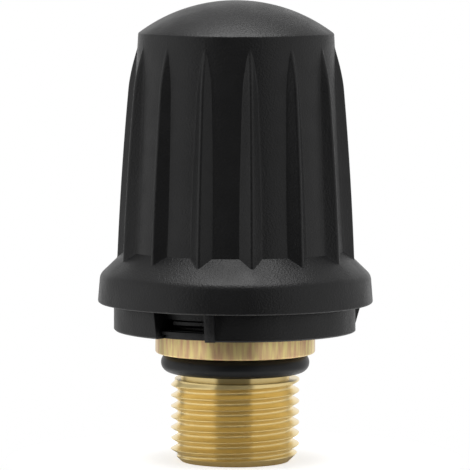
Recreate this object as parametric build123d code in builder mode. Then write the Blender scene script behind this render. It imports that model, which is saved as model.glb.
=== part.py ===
from build123d import *
from math import degrees, radians, sqrt, tan
import os

# Safety valve cap for a small boiler: a ribbed grip on a brass screw plug.
# Millimetres. The origin is the centre of the plug's threaded end, +Z runs up to the dome.
# The front of the object looks along -Y.

os.makedirs("parts", exist_ok=True)

# Brass plug: thread, groove for the rubber ring, flange, neck, spigot and valve chamber
thread_r = 9.0
thread_pitch = 1.5
thread_depth = 0.95
thread_root_flat = 0.19
thread_phase = 0.18
thread_length = 11.6
thread_half_angle = 30.0
thread_overcut = 0.15
thread_end_chamfer = 1.43
groove_depth = 1.4
groove_height = 3.65
flange_reach = 2.2
flange_thickness = 3.05
flange_chamfer = 0.3
neck_step = 0.5
neck_end = 0.7
clip_groove_depth = 0.6
spigot_step = 1.5
spigot_flat_depth = 0.7
spigot_end = 5.0
chamber_wall = 2.0
chamber_bottom_z = 8.0
inlet_step = 0.5
inlet_depth = 5.5
port_r = 2.0

# Rubber ring under the flange
o_ring_section = 2.75
o_ring_squeeze = 0.05

# Parts that hold the grip on the neck
press_travel = 2.5
stop_clearance = 0.2
running_clearance = 0.1
axial_play = 0.05
plate_thickness = 1.6
slip_washer_thickness = 0.6
clip_thickness = 1.0
clip_reach = 2.5
clip_gap_angle = 50.0

# Clutch
tooth_count = 12
tooth_height = 1.3
tooth_clearance = 0.25
gear_thickness = 3.0
gear_tooth_root_width = 2.9
gear_tooth_tip_width = 1.9
gear_nut_thickness = 2.3
gear_nut_clearance = 0.15
nut_slot_width = 2.0
nut_slot_depth = 1.2
clutch_gap = 0.3
ring_thickness = 3.5
ring_wall = 1.35
ring_tooth_height = 1.25
ring_tooth_root_width = 2.7
ring_tooth_tip_width = 1.9
ring_seat_clearance = 0.1
ring_shoulder = 0.8
tooth_overlap = 0.2
key_count = 3
key_width = 3.0
key_height = 0.8
key_clearance = 0.05

# Spring that lifts the grip out of the clutch
thrust_washer_thickness = 0.6
thrust_washer_width = 1.35
thrust_washer_clearance = 0.5
knob_spring_clearance = 0.6
knob_spring_wire = 1.2
knob_spring_turns = 5.5
knob_spring_length = 17.4
spring_cap_thickness = 0.8
spring_cap_width = 1.9

# Relief valve
seat_thickness = 2.5
seat_lip_height = 0.5
seat_lip_width = 0.7
seal_step = 1.6
seal_thickness = 1.2
seal_proud = 0.5
seal_clearance = 0.02
poppet_clearance = 0.08
poppet_head_thickness = 3.0
poppet_slot_count = 4
poppet_slot_width = 2.4
poppet_slot_depth = 1.1
poppet_stem_r = 1.8
poppet_stem_length = 4.5
spring_plate_clearance = 0.05
spring_plate_thickness = 0.8
lower_plate_step = 0.5
upper_plate_step = 0.3
relief_spring_step = 1.6
relief_spring_wire = 0.9
relief_spring_turns = 5.5
relief_spring_length = 10.7
vent_r = 1.5
screw_proud = 3.0
screw_slot_width = 1.6
screw_slot_depth = 1.5
lock_nut_sides = 6
lock_nut_clearance = 0.32
lock_nut_thickness = 2.2

# Collar
collar_gap = 0.12
collar_height = 5.48
collar_floor_height = 1.08
collar_rim = 2.5
collar_chamfer = 0.2
sleeve_gap = 0.4
sleeve_wall = 0.8
window_count = 3
window_start = -131.3
window_angle = 27.54
window_sill_height = 1.03
window_sill_thickness = 0.45
window_sill_reach = 1.4
window_undercut_reach = 0.7
wedge_width = 1.4
wedge_bottom_proud = 0.54
wedge_top_proud = 1.69
wedge_clearance = 0.05

# Snap arms of the grip, which hook into the windows of the collar
arm_inset_angle = 4.9
arm_angle = 20.0
arm_gap = 0.55
arm_thickness = 0.8
arm_clearance = 0.1
arm_to_window = 0.75
hook_reach = 0.65
hook_rise = 0.45
hook_height = 0.95
hook_clearance = 0.1

# Skirt of the grip
skirt_clearance = 0.1
skirt_wall = 2.17
skirt_draft = 0.34
skirt_overlap = 1.6
skirt_height = 3.9
skirt_edge_round = 1.5
skirt_bottom_round = 0.5
skirt_seat_width = 1.2

# Ribbed grip with its dome, the spring boss under it and the webs of the boss
cap_height = 64.5
dome_rise = 4.6
dome_edge_round = 0.35
dome_wall = 2.2
grip_foot_rise = 3.45
grip_foot_wall = 2.52
grip_draft = 1.67
grip_wall = 2.1
rib_count = 14
rib_angle = -82.15
rib_height = 1.28
rib_depth = 1.9
rib_half_flank_angle = 46.5
boss_reach = 1.0
boss_wall = 2.1
web_count = 6
web_thickness = 1.2
web_gap = 3.2

# Crest of a rib: how far up the grip, and how far outside its cone in rib heights
rib_crest_points = (
    (-0.08, 0.945),
    (0.2, 1.0),
    (0.5, 0.935),
    (0.75, 0.77),
    (0.86, 0.415),
    (0.953, -0.125),
)

# Heights, from the end of the thread upwards
thread_start_z = thread_phase - thread_pitch
thread_run = thread_length + 2 * thread_pitch
flange_bottom_z = thread_length + groove_height
flange_top_z = flange_bottom_z + flange_thickness
o_ring_z = flange_bottom_z - o_ring_section / 2
plate_bottom_z = flange_top_z + press_travel + stop_clearance
plate_top_z = plate_bottom_z + plate_thickness
slip_washer_z = plate_top_z + axial_play
clip_z = slip_washer_z + slip_washer_thickness + axial_play
neck_top_z = clip_z + clip_thickness + neck_end
gear_top_z = neck_top_z + gear_thickness
body_top_z = gear_top_z + spigot_end
screw_top_z = body_top_z + screw_proud
ring_z = gear_top_z + clutch_gap
ring_top_z = ring_z + ring_thickness
ring_seat_z = ring_z - ring_seat_clearance
thrust_washer_top_z = gear_top_z + thrust_washer_thickness
spring_cap_z = thrust_washer_top_z + knob_spring_length
boss_end_z = spring_cap_z + spring_cap_thickness
web_bottom_z = boss_end_z + web_gap
collar_bottom_z = flange_top_z + collar_gap
collar_floor_z = collar_bottom_z + collar_floor_height
window_sill_z = collar_bottom_z + window_sill_height
window_undercut_z = window_sill_z - window_sill_thickness
hook_bottom_z = collar_floor_z + hook_rise
hook_top_z = hook_bottom_z + hook_height
arm_root_z = ring_z + arm_thickness
skirt_seat_z = collar_bottom_z + collar_height
skirt_bottom_z = skirt_seat_z - skirt_overlap
skirt_edge_z = skirt_bottom_z + skirt_height
grip_foot_z = skirt_edge_z + grip_foot_rise
dome_edge_z = cap_height - dome_rise
ceiling_z = cap_height - dome_wall
seat_z = chamber_bottom_z + seat_thickness
seal_z = seat_z + seat_lip_height + seal_clearance
poppet_z = seal_z + seal_proud
poppet_top_z = poppet_z + poppet_head_thickness
relief_spring_z = poppet_top_z + spring_plate_thickness
upper_plate_z = relief_spring_z + relief_spring_length
screw_z = upper_plate_z + spring_plate_thickness

# Radii, from the thread inwards and then outwards
groove_r = thread_r - groove_depth
neck_r = thread_r - neck_step
spigot_r = neck_r - spigot_step
spigot_flat = spigot_r - spigot_flat_depth
chamber_r = spigot_r - chamber_wall
inlet_r = chamber_r - inlet_step
seat_lip_r = port_r + seat_lip_width
seal_r = chamber_r - seal_step
poppet_r = chamber_r - poppet_clearance
lower_plate_r = chamber_r - lower_plate_step
upper_plate_r = chamber_r - upper_plate_step
relief_spring_r = chamber_r - relief_spring_step
o_ring_r = groove_r + o_ring_squeeze + o_ring_section / 2
plate_hole_r = neck_r + running_clearance
clip_inner_r = neck_r - clip_groove_depth
clip_outer_r = clip_inner_r + clip_reach
flange_r = thread_r + flange_reach
gear_root_r = flange_r - tooth_height
ring_root_r = flange_r + tooth_clearance
ring_tip_r = ring_root_r - ring_tooth_height
ring_outer_r = ring_root_r + ring_wall
thrust_washer_outer_r = ring_tip_r - thrust_washer_clearance
thrust_washer_inner_r = thrust_washer_outer_r - thrust_washer_width
gear_nut_r = thrust_washer_inner_r - gear_nut_clearance
knob_spring_r = ring_tip_r - knob_spring_clearance - knob_spring_wire / 2
lock_nut_r = knob_spring_r - knob_spring_wire / 2 - lock_nut_clearance
boss_outer_r = knob_spring_r + boss_reach
boss_inner_r = boss_outer_r - boss_wall
spring_cap_inner_r = boss_outer_r - spring_cap_width
sleeve_inner_r = flange_r + sleeve_gap
sleeve_outer_r = sleeve_inner_r + sleeve_wall
arm_inner_r = sleeve_outer_r + arm_gap
arm_outer_r = arm_inner_r + arm_thickness
hook_tip_r = arm_outer_r + hook_reach
window_back_r = arm_outer_r + arm_to_window
window_sill_r = window_back_r + window_sill_reach
window_undercut_r = window_back_r + window_undercut_reach
collar_r = window_back_r + collar_rim
skirt_inner_r = collar_r + skirt_clearance
skirt_seat_r = skirt_inner_r - skirt_seat_width
skirt_bottom_r = skirt_inner_r + skirt_wall
skirt_edge_r = skirt_bottom_r - skirt_draft
grip_foot_r = ring_outer_r + grip_foot_wall
dome_edge_r = grip_foot_r - grip_draft
cavity_top_r = dome_edge_r - grip_wall


def dome_radius(rise, half_width):
    """Radius of the sphere that rises by this much over this half width."""
    return (rise**2 + half_width**2) / (2 * rise)


def sphere_drop(radius, r):
    """How far a sphere's surface lies below its top, at distance r from the axis."""
    return radius - sqrt(radius**2 - r**2)


def crest_point(along, heights):
    """Point of a rib's crest: along the grip from its foot, and outside its cone."""
    cone_r = grip_foot_r - along * grip_draft
    return (cone_r + heights * rib_height, grip_foot_z + along * (dome_edge_z - grip_foot_z))


dome_r = dome_radius(dome_rise, dome_edge_r)
ceiling_r = dome_r - dome_wall
cavity_edge_z = ceiling_z - sphere_drop(ceiling_r, cavity_top_r)
boss_top_z = ceiling_z - sphere_drop(ceiling_r, boss_outer_r) + dome_wall / 2
web_reach = cavity_top_r - boss_inner_r
web_middle_r = boss_inner_r + web_reach / 2 + web_thickness / 2
rib_crest = [crest_point(along, heights) for along, heights in rib_crest_points]
rib_half_width = rib_depth * tan(radians(rib_half_flank_angle))
knob_spring_rise = knob_spring_length - knob_spring_wire
relief_spring_rise = relief_spring_length - relief_spring_wire
flank_run = (thread_depth + thread_overcut) * tan(radians(thread_half_angle))
thread_mouth = thread_root_flat + 2 * flank_run
key_angle = window_start + window_angle / 2 + 180 / key_count
arm_start = window_start + arm_inset_angle
wedge_turn = degrees(wedge_width / 2 / collar_r)


def ring_sector(inner, outer, start, width):
    """Flat piece of a ring that begins at the angle start and covers the angle width."""
    with BuildSketch() as piece:
        with BuildLine():
            near = CenterArc((0, 0), inner, start, width)
            far = CenterArc((0, 0), outer, start, width)
            Line(near @ 0, far @ 0)
            Line(near @ 1, far @ 1)
        make_face()
    return piece.sketch


def tooth(root_r, tip_r, root_width, tip_width):
    """Flat tooth on the X axis, from its root radius to its tip radius."""
    with BuildSketch() as piece:
        with BuildLine():
            Polyline(
                (root_r, -root_width / 2),
                (tip_r, -tip_width / 2),
                (tip_r, tip_width / 2),
                (root_r, root_width / 2),
                close=True,
            )
        make_face()
    return piece.sketch


# One rib of the grip: a sharp ridge that follows the grip's outline
with BuildPart() as rib:
    with BuildLine(Plane.XZ) as rib_path:
        Spline(*rib_crest)
    with BuildSketch(Plane(rib_path.line @ 0, x_dir=(0, 1, 0), z_dir=rib_path.line % 0)):
        with BuildLine():
            Polyline((0, 0), (rib_half_width, rib_depth), (-rib_half_width, rib_depth), close=True)
        make_face()
    sweep(path=rib_path.line)

# Grip: domed shell with ribs, skirt, spring boss, ring seat and snap arms
arm_sector = ring_sector(arm_inner_r, arm_outer_r, arm_start, arm_angle)
hook_sector = ring_sector(arm_inner_r, hook_tip_r, arm_start, arm_angle)
with BuildPart() as knob_shell:
    with BuildSketch(Plane.XZ) as shell_section:
        with BuildLine():
            Polyline(
                (dome_edge_r, dome_edge_z),
                (grip_foot_r, grip_foot_z),
                (skirt_edge_r, skirt_edge_z),
                (skirt_bottom_r, skirt_bottom_z),
                (skirt_inner_r, skirt_bottom_z),
                (skirt_inner_r, skirt_seat_z),
                (skirt_seat_r, skirt_seat_z),
                (skirt_seat_r, skirt_edge_z),
                (arm_outer_r, ring_seat_z),
                (ring_outer_r, ring_seat_z),
                (ring_outer_r, ring_top_z),
                (ring_outer_r - ring_shoulder, ring_top_z),
                (cavity_top_r, cavity_edge_z),
            )
            RadiusArc((cavity_top_r, cavity_edge_z), (0, ceiling_z), -ceiling_r)
            Line((0, ceiling_z), (0, cap_height))
            RadiusArc((0, cap_height), (dome_edge_r, dome_edge_z), dome_r)
        make_face()
        corners = shell_section.vertices()
        fillet(corners.sort_by_distance((dome_edge_r, dome_edge_z))[0], dome_edge_round)
        corners = shell_section.vertices()
        fillet(corners.sort_by_distance((skirt_edge_r, skirt_edge_z))[0], skirt_edge_round)
        corners = shell_section.vertices()
        fillet(corners.sort_by_distance((skirt_bottom_r, skirt_bottom_z))[0], skirt_bottom_round)
    revolve(axis=Axis.Z)
    with PolarLocations(0, rib_count, start_angle=rib_angle):
        add(rib.part)
    with BuildSketch(Plane.XY.offset(boss_end_z)):
        Circle(boss_outer_r)
        Circle(boss_inner_r, mode=Mode.SUBTRACT)
    extrude(amount=boss_top_z - boss_end_z)
    with BuildSketch(Plane.XY.offset(web_bottom_z)):
        with PolarLocations(web_middle_r, web_count):
            Rectangle(web_reach, web_thickness)
    extrude(amount=cavity_edge_z - web_bottom_z)
    with BuildSketch(Plane.XY.offset(hook_bottom_z)):
        with PolarLocations(0, window_count):
            add(arm_sector)
    extrude(amount=arm_root_z - hook_bottom_z)
    with BuildSketch(Plane.XY.offset(hook_bottom_z)):
        with PolarLocations(0, window_count):
            add(hook_sector)
    extrude(amount=hook_height)
    with BuildSketch(Plane.XY.offset(ring_seat_z)):
        with PolarLocations(ring_outer_r, key_count, start_angle=key_angle):
            Rectangle(2 * key_height + 2 * key_clearance, key_width + 2 * key_clearance)
    extrude(amount=ring_top_z - ring_seat_z, mode=Mode.SUBTRACT)
knob_shell.part.label = "knob_shell"

# Collar: closes the underside of the grip, takes the snap arms and carries the bearing plate
window_cut = ring_sector(window_back_r, skirt_inner_r, window_start, window_angle)
sill_cut = ring_sector(window_sill_r, skirt_inner_r, window_start, window_angle)
undercut = ring_sector(window_undercut_r, skirt_inner_r, window_start, window_angle)
hook_cut = ring_sector(
    arm_inner_r - arm_clearance, hook_tip_r + arm_clearance, window_start, window_angle
)
with BuildPart() as base_collar:
    with BuildSketch(Plane.XZ):
        with BuildLine():
            Polyline(
                (collar_r - collar_chamfer, collar_bottom_z),
                (collar_r, collar_bottom_z + collar_chamfer),
                (collar_r, skirt_seat_z),
                (arm_outer_r + arm_clearance, skirt_seat_z),
                (arm_outer_r + arm_clearance, collar_floor_z),
                (sleeve_outer_r, collar_floor_z),
                (sleeve_outer_r, ring_z),
                (sleeve_inner_r, ring_z),
                (sleeve_inner_r, plate_top_z),
                (plate_hole_r, plate_top_z),
                (plate_hole_r, plate_bottom_z),
                (sleeve_inner_r, plate_bottom_z),
                (sleeve_inner_r, collar_bottom_z),
                close=True,
            )
        make_face()
    revolve(axis=Axis.Z)
    with BuildSketch(Plane.XY.offset(window_sill_z)):
        with PolarLocations(0, window_count):
            add(window_cut)
    extrude(amount=skirt_seat_z - window_sill_z, mode=Mode.SUBTRACT)
    with BuildSketch(Plane.XY.offset(collar_bottom_z)):
        with PolarLocations(0, window_count):
            add(sill_cut)
    extrude(amount=window_sill_z - collar_bottom_z, mode=Mode.SUBTRACT)
    with BuildSketch(Plane.XY.offset(collar_bottom_z)):
        with PolarLocations(0, window_count):
            add(undercut)
    extrude(amount=window_undercut_z - collar_bottom_z, mode=Mode.SUBTRACT)
    with BuildSketch(Plane.XY.offset(collar_floor_z)):
        with PolarLocations(0, window_count):
            add(hook_cut)
    extrude(amount=hook_top_z + hook_clearance - collar_floor_z, mode=Mode.SUBTRACT)
    for count in range(window_count):
        wedge_angle = window_start + window_angle + wedge_turn + 360 * count / window_count
        with BuildSketch(Plane.XZ.rotated((0, 0, wedge_angle))):
            with BuildLine():
                Polyline(
                    (collar_r - collar_chamfer, collar_bottom_z),
                    (collar_r + wedge_bottom_proud, collar_bottom_z),
                    (collar_r + wedge_top_proud, skirt_bottom_z - wedge_clearance),
                    (collar_r - collar_chamfer, skirt_bottom_z - wedge_clearance),
                    close=True,
                )
            make_face()
        extrude(amount=wedge_width / 2, both=True)
base_collar.part.label = "base_collar"

# Toothed ring of the clutch, keyed into the grip
ring_tooth = tooth(
    ring_root_r + tooth_overlap, ring_tip_r, ring_tooth_root_width, ring_tooth_tip_width
)
with BuildPart() as drive_ring:
    with BuildSketch(Plane.XY.offset(ring_z)):
        Circle(ring_outer_r)
        Circle(ring_root_r, mode=Mode.SUBTRACT)
        with PolarLocations(0, tooth_count, start_angle=180 / tooth_count):
            add(ring_tooth)
        with PolarLocations(ring_outer_r, key_count, start_angle=key_angle):
            Rectangle(2 * key_height, key_width)
    extrude(amount=ring_thickness)
drive_ring.part.label = "drive_ring"

# Brass plug: thread, seal groove, flange, neck and valve chamber
with BuildPart() as valve_body:
    with BuildSketch(Plane.XZ):
        with BuildLine():
            Polyline(
                (inlet_r, 0),
                (thread_r - thread_end_chamfer, 0),
                (thread_r, thread_end_chamfer),
                (thread_r, thread_length),
                (groove_r, thread_length),
                (groove_r, flange_bottom_z),
                (flange_r - flange_chamfer, flange_bottom_z),
                (flange_r, flange_bottom_z + flange_chamfer),
                (flange_r, flange_top_z - flange_chamfer),
                (flange_r - flange_chamfer, flange_top_z),
                (neck_r, flange_top_z),
                (neck_r, clip_z),
                (clip_inner_r, clip_z),
                (clip_inner_r, clip_z + clip_thickness),
                (neck_r, clip_z + clip_thickness),
                (neck_r, neck_top_z),
                (spigot_r, neck_top_z),
                (spigot_r, body_top_z),
                (chamber_r, body_top_z),
                (chamber_r, chamber_bottom_z),
                (port_r, chamber_bottom_z),
                (port_r, inlet_depth),
                (inlet_r, inlet_depth),
                close=True,
            )
        make_face()
    revolve(axis=Axis.Z)
    with BuildSketch(Plane.XY.offset(neck_top_z)):
        Rectangle(2 * neck_r, 2 * neck_r)
        Rectangle(2 * spigot_flat, 2 * neck_r, mode=Mode.SUBTRACT)
    extrude(amount=body_top_z - neck_top_z, mode=Mode.SUBTRACT)
    with BuildLine() as thread_path:
        Helix(thread_pitch, thread_run, thread_r, center=(0, 0, thread_start_z))
    with BuildSketch(Plane.XZ):
        with BuildLine():
            Polyline(
                (thread_r - thread_depth, thread_start_z - thread_root_flat / 2),
                (thread_r + thread_overcut, thread_start_z - thread_mouth / 2),
                (thread_r + thread_overcut, thread_start_z + thread_mouth / 2),
                (thread_r - thread_depth, thread_start_z + thread_root_flat / 2),
                close=True,
            )
        make_face()
    sweep(path=thread_path.line, is_frenet=True, mode=Mode.SUBTRACT)
valve_body.part.label = "valve_body"

# Rubber ring under the flange
with BuildPart() as body_o_ring:
    with BuildSketch(Plane.XZ):
        with Locations((o_ring_r, o_ring_z)):
            Circle(o_ring_section / 2)
    revolve(axis=Axis.Z)
body_o_ring.part.label = "body_o_ring"

# Slip washer and spring clip that keep the grip on the neck
with BuildPart() as slip_washer:
    with BuildSketch(Plane.XY.offset(slip_washer_z)):
        Circle(flange_r)
        Circle(plate_hole_r, mode=Mode.SUBTRACT)
    extrude(amount=slip_washer_thickness)
slip_washer.part.label = "slip_washer"

clip_sector = ring_sector(clip_inner_r, clip_outer_r, window_start, 360 - clip_gap_angle)
with BuildPart() as retaining_ring:
    with BuildSketch(Plane.XY.offset(clip_z)):
        add(clip_sector)
    extrude(amount=clip_thickness)
retaining_ring.part.label = "retaining_ring"

# Clutch gear on the flats of the body, and the slotted nut that holds it down
with BuildSketch() as spigot_outline:
    Circle(spigot_r)
    Rectangle(2 * spigot_flat, 2 * spigot_r, mode=Mode.INTERSECT)
gear_tooth = tooth(
    gear_root_r - tooth_overlap, flange_r, gear_tooth_root_width, gear_tooth_tip_width
)
with BuildPart() as clutch_gear:
    with BuildSketch(Plane.XY.offset(neck_top_z)):
        Circle(gear_root_r)
        with PolarLocations(0, tooth_count):
            add(gear_tooth)
        add(spigot_outline.sketch, mode=Mode.SUBTRACT)
    extrude(amount=gear_thickness)
clutch_gear.part.label = "clutch_gear"

with BuildPart() as gear_nut:
    with BuildSketch(Plane.XY.offset(gear_top_z)):
        Circle(gear_nut_r)
        Circle(spigot_r, mode=Mode.SUBTRACT)
    extrude(amount=gear_nut_thickness)
    with BuildSketch(Plane.XY.offset(gear_top_z + gear_nut_thickness)):
        Rectangle(nut_slot_width, 2 * gear_nut_r)
    extrude(amount=-nut_slot_depth, mode=Mode.SUBTRACT)
gear_nut.part.label = "gear_nut"

# Thrust washer, spring and spring cap that lift the grip
with BuildPart() as thrust_washer:
    with BuildSketch(Plane.XY.offset(gear_top_z)):
        Circle(thrust_washer_outer_r)
        Circle(thrust_washer_inner_r, mode=Mode.SUBTRACT)
    extrude(amount=thrust_washer_thickness)
thrust_washer.part.label = "thrust_washer"

with BuildPart() as knob_spring:
    with BuildLine() as knob_spring_path:
        Helix(
            knob_spring_rise / knob_spring_turns,
            knob_spring_rise,
            knob_spring_r,
            center=(0, 0, thrust_washer_top_z + knob_spring_wire / 2),
        )
    start = knob_spring_path.line @ 0
    with BuildSketch(Plane(start, x_dir=(1, 0, 0), z_dir=knob_spring_path.line % 0)):
        Circle(knob_spring_wire / 2)
    sweep(path=knob_spring_path.line, is_frenet=True)
knob_spring.part.label = "knob_spring"

with BuildPart() as spring_cap:
    with BuildSketch(Plane.XY.offset(spring_cap_z)):
        Circle(boss_outer_r)
        Circle(spring_cap_inner_r, mode=Mode.SUBTRACT)
    extrude(amount=spring_cap_thickness)
spring_cap.part.label = "spring_cap"

# Valve seat, pressed into the bottom of the chamber
with BuildPart() as seat_insert:
    with BuildSketch(Plane.XY.offset(chamber_bottom_z)):
        Circle(chamber_r)
        Circle(port_r, mode=Mode.SUBTRACT)
    extrude(amount=seat_thickness)
    with BuildSketch(Plane.XY.offset(seat_z)):
        Circle(seat_lip_r)
        Circle(port_r, mode=Mode.SUBTRACT)
    extrude(amount=seat_lip_height)
seat_insert.part.label = "seat_insert"

# Poppet with its rubber face
with BuildPart() as poppet_seal:
    with BuildSketch(Plane.XY.offset(seal_z)):
        Circle(seal_r)
    extrude(amount=seal_thickness)
poppet_seal.part.label = "poppet_seal"

with BuildPart() as relief_poppet:
    with BuildSketch(Plane.XY.offset(poppet_z)):
        Circle(poppet_r)
        with PolarLocations(poppet_r, poppet_slot_count):
            Rectangle(2 * poppet_slot_depth, poppet_slot_width, mode=Mode.SUBTRACT)
    extrude(amount=poppet_head_thickness)
    with BuildSketch(Plane.XY.offset(poppet_z)):
        Circle(seal_r)
    extrude(amount=seal_thickness - seal_proud, mode=Mode.SUBTRACT)
    with BuildSketch(Plane.XY.offset(poppet_top_z)):
        Circle(poppet_stem_r)
    extrude(amount=poppet_stem_length)
relief_poppet.part.label = "relief_poppet"

# Relief spring between its two plates
with BuildPart() as lower_spring_plate:
    with BuildSketch(Plane.XY.offset(poppet_top_z)):
        Circle(lower_plate_r)
        Circle(poppet_stem_r + spring_plate_clearance, mode=Mode.SUBTRACT)
        with PolarLocations(poppet_r, poppet_slot_count):
            Rectangle(2 * poppet_slot_depth, poppet_slot_width, mode=Mode.SUBTRACT)
    extrude(amount=spring_plate_thickness)
lower_spring_plate.part.label = "lower_spring_plate"

with BuildPart() as relief_spring:
    with BuildLine() as relief_spring_path:
        Helix(
            relief_spring_rise / relief_spring_turns,
            relief_spring_rise,
            relief_spring_r,
            center=(0, 0, relief_spring_z + relief_spring_wire / 2),
        )
    start = relief_spring_path.line @ 0
    with BuildSketch(Plane(start, x_dir=(1, 0, 0), z_dir=relief_spring_path.line % 0)):
        Circle(relief_spring_wire / 2)
    sweep(path=relief_spring_path.line, is_frenet=True)
relief_spring.part.label = "relief_spring"

with BuildPart() as upper_spring_plate:
    with BuildSketch(Plane.XY.offset(upper_plate_z)):
        Circle(upper_plate_r)
        Circle(vent_r, mode=Mode.SUBTRACT)
    extrude(amount=spring_plate_thickness)
upper_spring_plate.part.label = "upper_spring_plate"

# Adjusting screw with a vent through its middle, and its lock nut
with BuildPart() as adjusting_screw:
    with BuildSketch(Plane.XY.offset(screw_z)):
        Circle(chamber_r)
        Circle(vent_r, mode=Mode.SUBTRACT)
    extrude(amount=screw_top_z - screw_z)
    with BuildSketch(Plane.XY.offset(screw_top_z)):
        Rectangle(screw_slot_width, 2 * chamber_r)
    extrude(amount=-screw_slot_depth, mode=Mode.SUBTRACT)
adjusting_screw.part.label = "adjusting_screw"

with BuildPart() as screw_lock_nut:
    with BuildSketch(Plane.XY.offset(body_top_z)):
        RegularPolygon(lock_nut_r, lock_nut_sides)
        Circle(chamber_r, mode=Mode.SUBTRACT)
    extrude(amount=lock_nut_thickness)
screw_lock_nut.part.label = "screw_lock_nut"

for piece in (
    knob_shell,
    base_collar,
    drive_ring,
    valve_body,
    body_o_ring,
    slip_washer,
    retaining_ring,
    clutch_gear,
    gear_nut,
    thrust_washer,
    knob_spring,
    spring_cap,
    seat_insert,
    poppet_seal,
    relief_poppet,
    lower_spring_plate,
    relief_spring,
    upper_spring_plate,
    adjusting_screw,
    screw_lock_nut,
):
    export_step(piece.part, f"parts/{piece.part.label}.step")
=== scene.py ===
# %% [markdown]
# # Safety valve cap of a small steam boiler
# The cap closes the filler of a boiler. Its black grip turns freely on a brass screw plug until
# it is pressed down, and a small relief valve sits inside the plug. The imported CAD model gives
# every place and size, and this lesson dresses it: the surfaces that show are rebuilt with finer
# edges, and the pieces inside keep their CAD meshes with better finishes.

import math

import bmesh
import bpy
from mathutils import Matrix, Vector


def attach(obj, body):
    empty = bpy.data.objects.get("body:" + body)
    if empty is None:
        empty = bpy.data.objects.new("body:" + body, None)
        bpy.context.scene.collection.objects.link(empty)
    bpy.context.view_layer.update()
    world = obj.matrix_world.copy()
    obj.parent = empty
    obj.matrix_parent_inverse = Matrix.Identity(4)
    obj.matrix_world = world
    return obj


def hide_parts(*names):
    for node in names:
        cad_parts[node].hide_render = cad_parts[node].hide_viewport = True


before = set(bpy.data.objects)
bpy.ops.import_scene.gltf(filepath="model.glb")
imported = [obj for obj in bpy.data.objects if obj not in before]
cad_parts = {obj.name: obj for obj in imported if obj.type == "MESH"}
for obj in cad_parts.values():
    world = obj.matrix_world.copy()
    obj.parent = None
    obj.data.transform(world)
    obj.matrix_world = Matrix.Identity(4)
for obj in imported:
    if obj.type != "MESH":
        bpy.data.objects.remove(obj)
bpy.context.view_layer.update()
MM = 0.001

# %% [markdown]
# ## Colours and nodes
# Colours are written as sRGB hex values, as a colour picker shows them, while shader sockets
# want linear light. One function turns the first into the second, and one more adds a node
# with its settings and its links, so each material reads as a short list.

# %% Helpers for materials
def linear(hex_colour):
    """Linear RGBA of an sRGB hex value such as #1d1d1f."""
    channels = [int(hex_colour[at:at + 2], 16) / 255 for at in (1, 3, 5)]
    return [c / 12.92 if c <= 0.04045 else ((c + 0.055) / 1.055) ** 2.4 for c in channels] + [1.0]


def add_node(tree, kind, inputs=None, **settings):
    """Adds a node; inputs maps a socket's name or number to a value or to another socket."""
    node = tree.nodes.new(kind)
    for name, value in settings.items():
        setattr(node, name, value)
    for name, value in (inputs or {}).items():
        if isinstance(value, bpy.types.NodeSocket):
            tree.links.new(value, node.inputs[name])
        else:
            node.inputs[name].default_value = value
    return node


def new_material(name):
    """An empty node material."""
    made = bpy.data.materials.new(name)
    made.use_nodes = True
    made.node_tree.nodes.clear()
    return made, made.node_tree


# %% [markdown]
# ## Moulded black plastic
# The grip and the collar are injection-moulded glass-filled nylon from spark-eroded tools. The
# colour is a deep neutral black, and the fine erosion grain, about a quarter of a millimetre
# wide, scatters the gloss, so light from the side turns the surface a soft dark grey.

# %% Material: moulded nylon
GRAIN = 0.26 * MM
MOTTLE = 3.0 * MM

nylon, tree = new_material("spark_eroded_black_nylon")
place = add_node(tree, "ShaderNodeTexCoord").outputs["Object"]
grain = add_node(tree, "ShaderNodeTexNoise", {"Vector": place, "Scale": 1 / GRAIN, "Detail": 2.0})
mottle = add_node(tree, "ShaderNodeTexNoise", {"Vector": place, "Scale": 1 / MOTTLE, "Detail": 1.0})
tint = add_node(
    tree, "ShaderNodeMix",
    {"Factor": grain.outputs[0], "A": linear("#0a0a0b"), "B": linear("#121213")},
    data_type="RGBA",
)
shine = add_node(
    tree, "ShaderNodeMapRange",
    {"Value": mottle.outputs[0], "From Min": 0.3, "From Max": 0.7, "To Min": 0.38, "To Max": 0.46},
)
relief = add_node(
    tree, "ShaderNodeBump",
    {"Height": grain.outputs[0], "Strength": 0.8, "Distance": 0.07 * MM},
)
plastic = add_node(
    tree, "ShaderNodeBsdfPrincipled",
    {
        "Base Color": tint.outputs["Result"],
        "Roughness": shine.outputs["Result"],
        "Normal": relief.outputs["Normal"],
        "IOR": 1.5,
        "Specular IOR Level": 0.37,
    },
)
add_node(tree, "ShaderNodeOutputMaterial", {"Surface": plastic.outputs["BSDF"]})
print("nylon grain", round(GRAIN / MM, 2), "mm")

# %% [markdown]
# ## Turned brass
# The plug is free-cutting brass, turned on a lathe. The tool leaves rings of fine grooves round
# the axis, which spread a reflection up and down but keep it sharp from side to side. So the
# gloss is anisotropic: the tangent runs round the axis, and a quarter turn lays the spread
# along the axis. A bump of thin rings follows height and radius. The thread is cut bright,
# while the flange keeps the duller, streaked skin of the drawn bar.

# %% Material: turned brass
RING_PITCH = 0.18 * MM
SKIN_Z = 15.2 * MM
SKIN_BLEND = 0.5 * MM
STREAK_WIDTH = 0.55 * MM
STREAK_STRETCH = 0.12
THREAD_TONE = 0.75
THREAD_ROUGHNESS = 0.29
SKIN_ROUGHNESS = 0.42

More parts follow.
